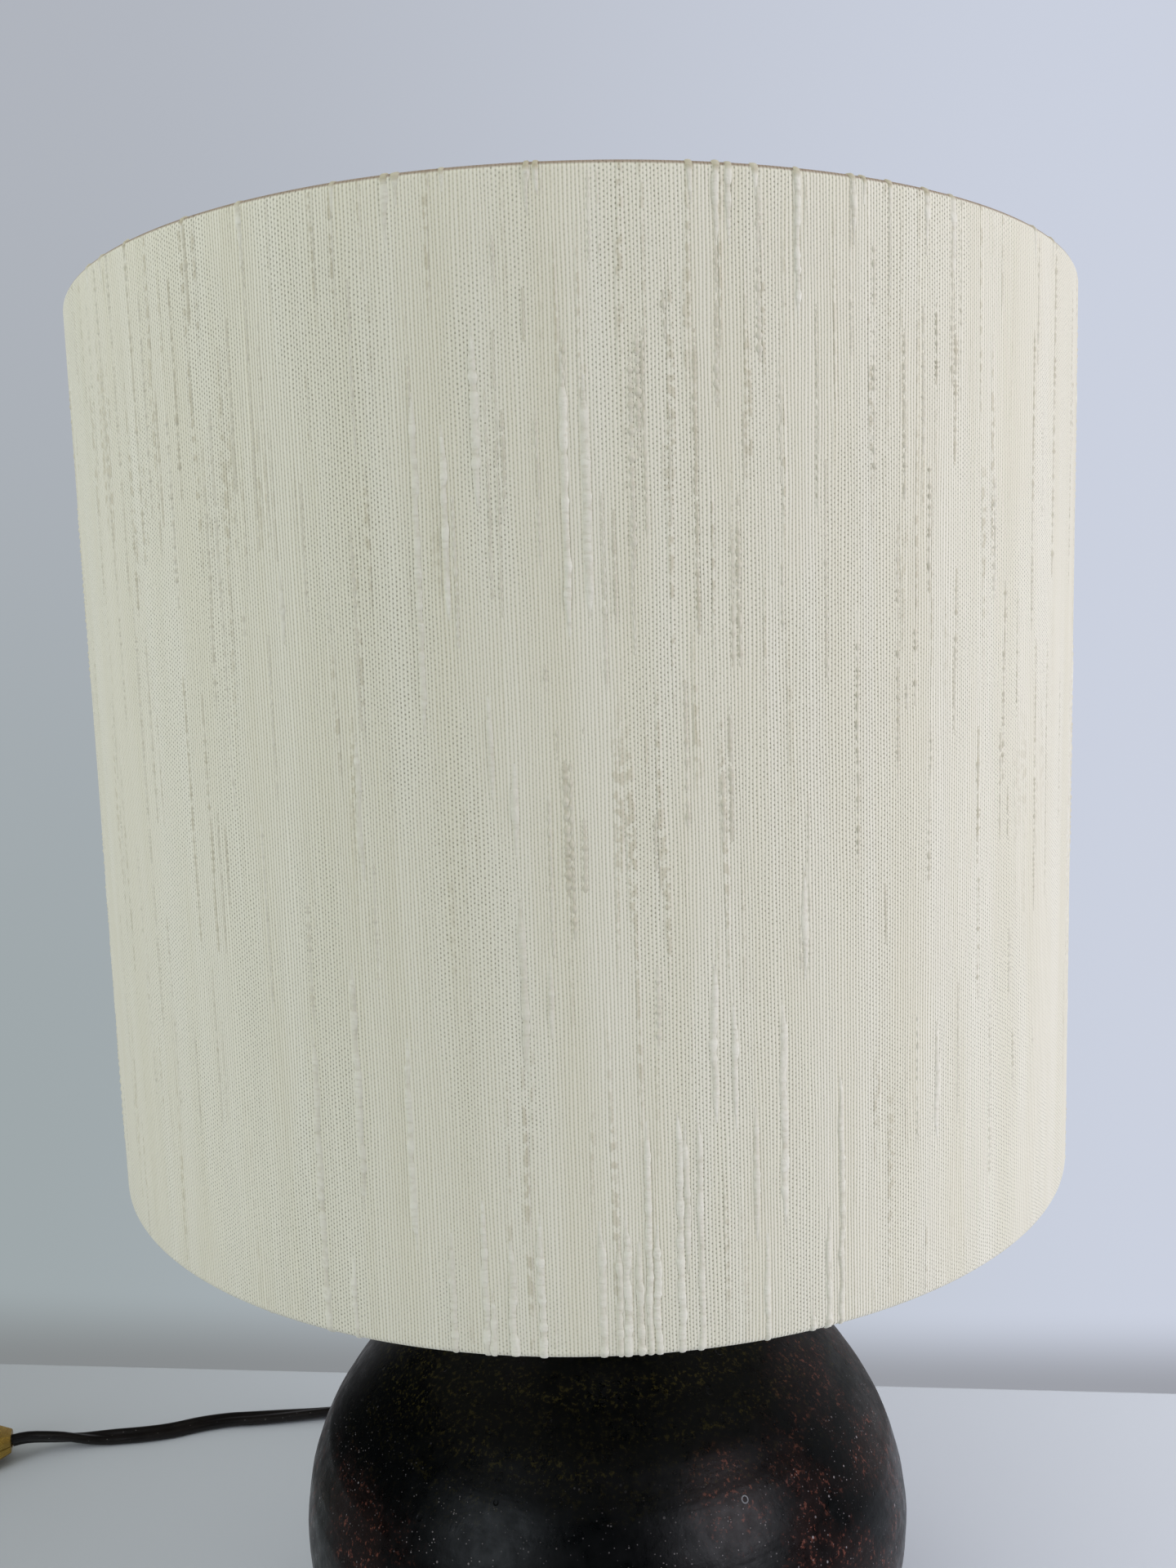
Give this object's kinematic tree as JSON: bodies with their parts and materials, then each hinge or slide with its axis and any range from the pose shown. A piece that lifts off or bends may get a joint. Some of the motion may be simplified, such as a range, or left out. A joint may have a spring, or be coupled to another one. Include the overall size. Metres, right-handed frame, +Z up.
{
  "type": "table lamp",
  "caption": "Squat glazed stoneware ball base with a short collar, a fabric drum shade on a wire spider, a screw bulb, and a flat cord with an inline rocker switch and a two-pin plug.",
  "frame": {"origin": "middle of the felt pad's underside, on the table, under the middle of the ball and the shade", "axes": "+Z up through the neck, the bulb and the shade; +Y to the back, where the cord leaves the ball; the cord lies towards -X"},
  "size_m": [0.4605, 0.2537, 0.3823],
  "materials": {
    "stoneware_glaze": "satin brown-black glaze breaking to rust red, with fine pale specks and pinholes",
    "felt": "dark green pressed felt",
    "shade_fabric": "cream slub weave laminated on a translucent liner",
    "shade_liner": "satin white translucent sheet",
    "white_wire": "off-white epoxy paint",
    "brass": "satin brass",
    "gold_lacquer": "gold lacquered moulded plastic",
    "steel": "zinc-plated steel",
    "bakelite": "glossy black phenolic moulding",
    "porcelain": "white unglazed porcelain",
    "bulb_glass": "inside-frosted glass",
    "bulb_cap_metal": "rolled aluminium thread",
    "black_glass": "glossy black insulating glass",
    "solder": "dull solder",
    "tungsten": "dark drawn wire",
    "cord_plastic": "dark brown flexible plastic with a soft sheen",
    "wire_brown": "brown wire insulation",
    "wire_blue": "blue wire insulation",
    "tie_plastic": "black nylon band"
  },
  "bodies": {
    "base": {"ball_body": "stoneware_glaze", "felt_pad": "felt", "threaded_pipe": "steel", "neck_washer": "steel", "neck_nut": "steel", "neck_cap": "brass", "holder_cap": "bakelite", "holder_body": "bakelite", "holder_insert": "porcelain", "thread_shell": "brass", "centre_contact": "brass", "terminal_1": "brass", "terminal_2": "brass", "terminal_screw_1": "steel", "terminal_screw_2": "steel", "holder_wire_1": "wire_brown", "holder_wire_2": "wire_blue", "shade_ring_lower": "bakelite", "shade_ring_upper": "bakelite", "cord_sleeve": "cord_plastic", "inner_cord": "cord_plastic", "cord_lead": "cord_plastic", "cord_tail": "cord_plastic", "cord_coil": "cord_plastic", "cord_end": "cord_plastic", "coil_tie": "tie_plastic", "switch_cover": "gold_lacquer", "switch_base": "gold_lacquer", "rocker_pin": "steel", "contact_in": "brass", "contact_out": "brass", "switch_wire_in": "wire_brown", "switch_wire_out": "wire_brown", "switch_wire_through": "wire_blue", "switch_screw_1": "steel", "switch_screw_2": "steel", "plug_body": "cord_plastic", "plug_pin_1": "brass", "plug_pin_2": "brass"},
    "shade": {"shade_fabric": "shade_fabric", "shade_liner": "shade_liner", "bottom_ring": "white_wire", "top_ring": "white_wire", "shade_hub": "white_wire", "spider_arm_1": "white_wire", "spider_arm_2": "white_wire", "spider_arm_3": "white_wire"},
    "bulb_lift": {"bulb_contact": "solder"},
    "bulb": {"bulb_glass": "bulb_glass", "bulb_cap": "bulb_cap_metal", "bulb_insulator": "black_glass", "bulb_stem": "bulb_glass", "bulb_filament": "tungsten"},
    "rocker": {"switch_rocker": "gold_lacquer", "switch_bridge": "brass"}
  },
  "joints": [
    {"name": "shade_turn", "type": "hinge", "parent": "base", "child": "shade", "pos_m": [0, 0, 0.17131], "axis": [0, 0, 1], "continuous": true},
    {"name": "bulb_lift", "type": "slide", "parent": "base", "child": "bulb_lift", "axis": [0, 0, 1], "range_m": [0, 0.0145]},
    {"name": "bulb_turn", "type": "hinge", "parent": "bulb_lift", "child": "bulb", "pos_m": [0, 0, 0.17591], "axis": [0, 0, 1], "range_deg": [0, 1440]},
    {"name": "rocker_tilt", "type": "hinge", "parent": "base", "child": "rocker", "pos_m": [-0.25554, 0.09174, 0.01113], "axis": [0.2924, -0.9563, 0], "range_deg": [0, 16]}
  ],
  "couplings": [
    {"joint": "bulb_lift", "follows": "bulb_turn", "m_per_rad": 0.00057614}
  ]
}
